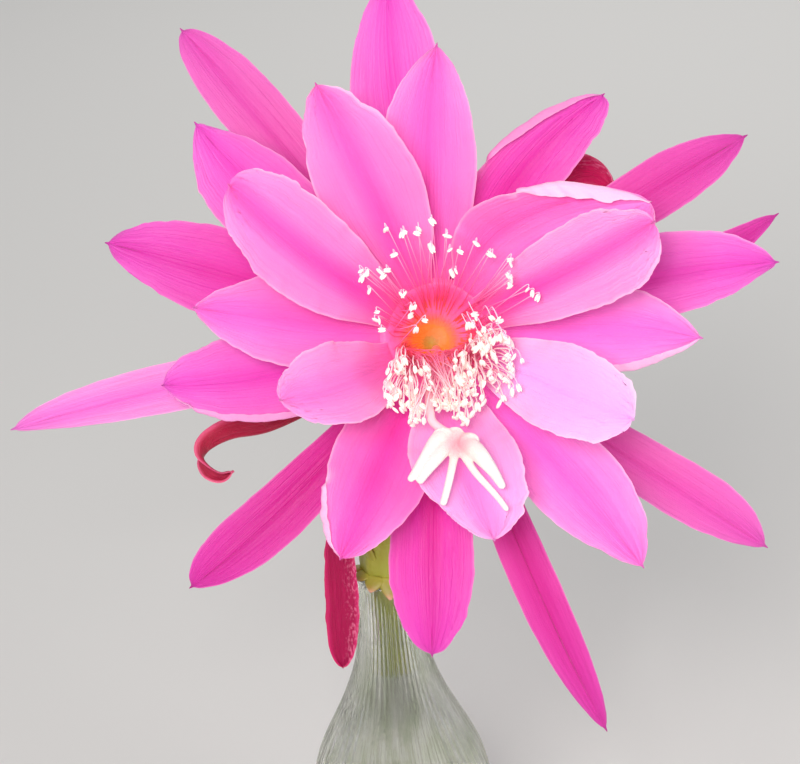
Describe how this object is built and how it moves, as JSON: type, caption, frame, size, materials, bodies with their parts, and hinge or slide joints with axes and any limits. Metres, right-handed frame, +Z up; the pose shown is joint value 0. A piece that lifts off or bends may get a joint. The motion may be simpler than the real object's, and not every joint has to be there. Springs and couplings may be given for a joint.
{
  "type": "orchid cactus bloom in a glass vase",
  "caption": "Large pink orchid cactus bloom with layered pointed petals, cream stamens and a white stigma, standing in a ribbed clear glass bud vase of water.",
  "frame": {"origin": "middle of the vase's flat foot, on the surface it stands on", "axes": "+Z up, along the vase's axis; the bloom faces -Y, tilted 25 degrees upwards; +X is the viewer's right"},
  "size_m": [0.209, 0.099, 0.2921],
  "materials": {
    "glass": "polished",
    "water": "polished",
    "green_tube": "satin",
    "inner_petal": "satin",
    "outer_petal": "satin",
    "sepal": "satin",
    "scale": "satin",
    "stamen": "satin",
    "style": "satin",
    "stigma": "satin"
  },
  "bodies": {
    "root": {"glass_vase": "glass", "vase_water": "water", "flower_tube": "green_tube", "stamens": "stamen", "style": "style", "stigma": "stigma", "inner_petal_upper_left": "inner_petal", "inner_petal_left": "inner_petal", "inner_petal_right": "inner_petal", "inner_petal_upper_right": "inner_petal", "inner_petal_top": "inner_petal", "inner_petal_bottom": "inner_petal", "inner_petal_top_right": "inner_petal", "middle_petal_left": "inner_petal", "middle_petal_top": "inner_petal", "middle_petal_lower_left": "inner_petal", "middle_petal_lower_right": "inner_petal", "middle_petal_right": "inner_petal", "outer_petal_upper_left": "outer_petal", "outer_petal_left_low": "outer_petal", "outer_petal_upper_right": "outer_petal", "outer_petal_top": "outer_petal", "outer_petal_left": "outer_petal", "outer_petal_bottom": "outer_petal", "outer_petal_right": "outer_petal", "sepal_upper_left": "sepal", "sepal_left": "sepal", "sepal_lower_left": "sepal", "sepal_lower_right": "sepal", "sepal_bottom": "sepal", "sepal_right": "sepal", "sepal_right_back": "sepal", "hanging_sepal": "scale", "curled_scale_left": "scale", "curled_scale_right": "scale"}
  },
  "joints": []
}
